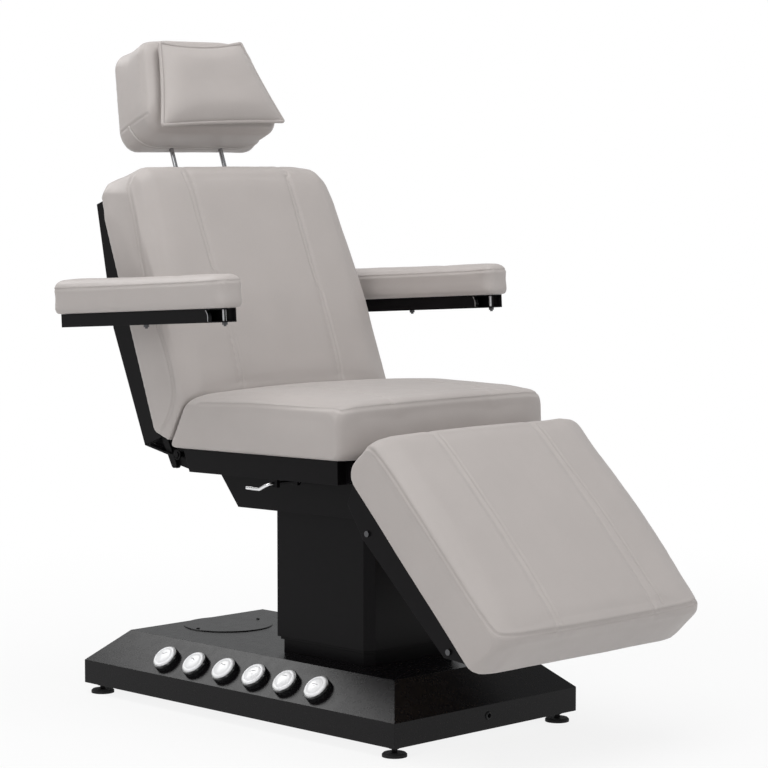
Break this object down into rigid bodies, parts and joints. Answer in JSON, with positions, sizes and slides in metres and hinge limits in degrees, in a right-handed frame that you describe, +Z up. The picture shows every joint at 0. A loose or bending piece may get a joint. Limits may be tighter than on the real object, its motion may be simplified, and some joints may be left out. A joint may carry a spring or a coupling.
{
  "type": "electric treatment chair",
  "caption": "Electric treatment chair with a lifting column, reclining back with level armrests, headrest with face hole, hinged leg rest and foot switches on the base.",
  "frame": {"origin": "on the floor under the axis of the lifting column", "axes": "+X towards the feet, +Y to the sitter's left, +Z up"},
  "size_m": [1.3079, 0.839, 1.4214],
  "materials": {
    "upholstery": "satin",
    "black_steel": "satin",
    "bare_steel": "satin",
    "chrome": "polished",
    "actuator_alloy": "satin",
    "rubber": "matte",
    "black_plastic": "satin",
    "grey_plastic": "satin",
    "white_plastic": "gloss",
    "plywood": "matte"
  },
  "bodies": {
    "base": {"base_cover": "black_steel", "floor_plate": "bare_steel", "foot_studs": "bare_steel", "foot_discs": "rubber", "service_plate": "grey_plastic", "service_screws": "chrome", "mains_inlet": "grey_plastic", "control_box": "black_plastic", "switch_housings": "black_plastic", "column_cover_inner": "black_steel", "mast_outer": "bare_steel", "mast_guides": "black_plastic", "lift_actuator": "actuator_alloy"},
    "middle_cover": {"column_cover_middle": "black_steel"},
    "seat": {"column_cover_outer": "black_steel", "mast_inner": "bare_steel", "lift_rod": "chrome", "seat_carrier": "black_steel", "seat_tray": "black_steel", "hinge_pins": "bare_steel", "seat_board": "plywood", "seat_cushion": "upholstery", "tilt_actuators": "actuator_alloy"},
    "backrest": {"back_side_plates": "black_steel", "back_rails": "black_steel", "back_board": "plywood", "post_sleeves": "chrome", "back_cushion": "upholstery"},
    "headrest": {"headrest_posts": "chrome", "headrest_block": "upholstery"},
    "pillow": {"headrest_pillow": "upholstery"},
    "leg_rest": {"leg_side_plates": "black_steel", "leg_rails": "black_steel", "leg_board": "plywood", "leg_bolts": "chrome", "leg_cushion": "upholstery"},
    "back_rod": {"back_actuator_rod": "chrome"},
    "leg_rod": {"leg_actuator_rod": "chrome"},
    "arm_right": {"arm_bar_right": "black_steel", "arm_pad_right": "upholstery", "arm_bolts_right": "chrome"},
    "link_right": {"arm_link_right": "black_steel"},
    "handle_right": {"release_handle_right": "chrome"},
    "arm_left": {"arm_bar_left": "black_steel", "arm_pad_left": "upholstery", "arm_bolts_left": "chrome"},
    "link_left": {"arm_link_left": "black_steel"},
    "handle_left": {"release_handle_left": "chrome"},
    "switch_right_1": {"switch_cap_right_1": "white_plastic"},
    "switch_right_2": {"switch_cap_right_2": "white_plastic"},
    "switch_right_3": {"switch_cap_right_3": "white_plastic"},
    "switch_right_4": {"switch_cap_right_4": "white_plastic"},
    "switch_right_5": {"switch_cap_right_5": "white_plastic"},
    "switch_right_6": {"switch_cap_right_6": "white_plastic"},
    "switch_left_1": {"switch_cap_left_1": "white_plastic"},
    "switch_left_2": {"switch_cap_left_2": "white_plastic"},
    "switch_left_3": {"switch_cap_left_3": "white_plastic"},
    "switch_left_4": {"switch_cap_left_4": "white_plastic"},
    "switch_left_5": {"switch_cap_left_5": "white_plastic"},
    "switch_left_6": {"switch_cap_left_6": "white_plastic"}
  },
  "joints": [
    {"name": "lift", "type": "slide", "parent": "base", "child": "seat", "axis": [0, 0, 1], "range_m": [-0.025, 0.2]},
    {"name": "middle_cover_slide", "type": "slide", "parent": "base", "child": "middle_cover", "axis": [0, 0, 1], "range_m": [-0.0125, 0.1]},
    {"name": "back_tilt", "type": "hinge", "parent": "seat", "child": "backrest", "pos_m": [-0.294, 0, 0.548], "axis": [0, -1, 0], "range_deg": [0, 70]},
    {"name": "leg_tilt", "type": "hinge", "parent": "seat", "child": "leg_rest", "pos_m": [0.244, 0, 0.553], "axis": [0, -1, 0], "range_deg": [0, 46]},
    {"name": "back_rod_slide", "type": "slide", "parent": "seat", "child": "back_rod", "axis": [1, 0, 0], "range_m": [0, 0.0925]},
    {"name": "leg_rod_slide", "type": "slide", "parent": "seat", "child": "leg_rod", "axis": [1, 0, 0], "range_m": [0, 0.063]},
    {"name": "headrest_slide", "type": "slide", "parent": "backrest", "child": "headrest", "axis": [-0.342, 0, 0.9397], "range_m": [-0.04, 0.06]},
    {"name": "pillow_lift", "type": "slide", "parent": "headrest", "child": "pillow", "axis": [0.9397, 0, 0.342], "range_m": [0, 0.06]},
    {"name": "arm_pivot_right", "type": "hinge", "parent": "backrest", "child": "arm_right", "pos_m": [-0.44812, -0.3, 0.82818], "axis": [0, -1, 0], "range_deg": [-70, 0]},
    {"name": "link_pivot_right", "type": "hinge", "parent": "seat", "child": "link_right", "pos_m": [-0.312, -0.263, 0.526], "axis": [0, -1, 0], "range_deg": [0, 70]},
    {"name": "handle_turn_right", "type": "hinge", "parent": "seat", "child": "handle_right", "pos_m": [0.003, -0.22, 0.512], "axis": [0, 1, 0], "range_deg": [0, 35], "stiffness_Nm_per_rad": 0.6, "springref_deg": -5.73},
    {"name": "arm_pivot_left", "type": "hinge", "parent": "backrest", "child": "arm_left", "pos_m": [-0.44812, 0.3, 0.82818], "axis": [0, -1, 0], "range_deg": [-70, 0]},
    {"name": "link_pivot_left", "type": "hinge", "parent": "seat", "child": "link_left", "pos_m": [-0.312, 0.263, 0.526], "axis": [0, -1, 0], "range_deg": [0, 70]},
    {"name": "handle_turn_left", "type": "hinge", "parent": "seat", "child": "handle_left", "pos_m": [0.003, 0.22, 0.512], "axis": [0, 1, 0], "range_deg": [0, 35], "stiffness_Nm_per_rad": 0.6, "springref_deg": -5.73},
    {"name": "switch_press_right_1", "type": "slide", "parent": "base", "child": "switch_right_1", "axis": [0, 0.6757, -0.7372], "range_m": [0, 0.003], "stiffness_N_per_m": 2000, "springref_m": -0.001},
    {"name": "switch_press_right_2", "type": "slide", "parent": "base", "child": "switch_right_2", "axis": [0, 0.6757, -0.7372], "range_m": [0, 0.003], "stiffness_N_per_m": 2000, "springref_m": -0.001},
    {"name": "switch_press_right_3", "type": "slide", "parent": "base", "child": "switch_right_3", "axis": [0, 0.6757, -0.7372], "range_m": [0, 0.003], "stiffness_N_per_m": 2000, "springref_m": -0.001},
    {"name": "switch_press_right_4", "type": "slide", "parent": "base", "child": "switch_right_4", "axis": [0, 0.6757, -0.7372], "range_m": [0, 0.003], "stiffness_N_per_m": 2000, "springref_m": -0.001},
    {"name": "switch_press_right_5", "type": "slide", "parent": "base", "child": "switch_right_5", "axis": [0, 0.6757, -0.7372], "range_m": [0, 0.003], "stiffness_N_per_m": 2000, "springref_m": -0.001},
    {"name": "switch_press_right_6", "type": "slide", "parent": "base", "child": "switch_right_6", "axis": [0, 0.6757, -0.7372], "range_m": [0, 0.003], "stiffness_N_per_m": 2000, "springref_m": -0.001},
    {"name": "switch_press_left_1", "type": "slide", "parent": "base", "child": "switch_left_1", "axis": [0, -0.6757, -0.7372], "range_m": [0, 0.003], "stiffness_N_per_m": 2000, "springref_m": -0.001},
    {"name": "switch_press_left_2", "type": "slide", "parent": "base", "child": "switch_left_2", "axis": [0, -0.6757, -0.7372], "range_m": [0, 0.003], "stiffness_N_per_m": 2000, "springref_m": -0.001},
    {"name": "switch_press_left_3", "type": "slide", "parent": "base", "child": "switch_left_3", "axis": [0, -0.6757, -0.7372], "range_m": [0, 0.003], "stiffness_N_per_m": 2000, "springref_m": -0.001},
    {"name": "switch_press_left_4", "type": "slide", "parent": "base", "child": "switch_left_4", "axis": [0, -0.6757, -0.7372], "range_m": [0, 0.003], "stiffness_N_per_m": 2000, "springref_m": -0.001},
    {"name": "switch_press_left_5", "type": "slide", "parent": "base", "child": "switch_left_5", "axis": [0, -0.6757, -0.7372], "range_m": [0, 0.003], "stiffness_N_per_m": 2000, "springref_m": -0.001},
    {"name": "switch_press_left_6", "type": "slide", "parent": "base", "child": "switch_left_6", "axis": [0, -0.6757, -0.7372], "range_m": [0, 0.003], "stiffness_N_per_m": 2000, "springref_m": -0.001}
  ],
  "couplings": [
    {"joint": "middle_cover_slide", "follows": "lift", "ratio": 0.5},
    {"joint": "back_rod_slide", "follows": "back_tilt", "m_per_rad": 0.075117},
    {"joint": "leg_rod_slide", "follows": "leg_tilt", "m_per_rad": 0.077869},
    {"joint": "arm_pivot_right", "follows": "back_tilt", "ratio": -1},
    {"joint": "link_pivot_right", "follows": "back_tilt", "ratio": 1},
    {"joint": "arm_pivot_left", "follows": "back_tilt", "ratio": -1},
    {"joint": "link_pivot_left", "follows": "back_tilt", "ratio": 1}
  ]
}
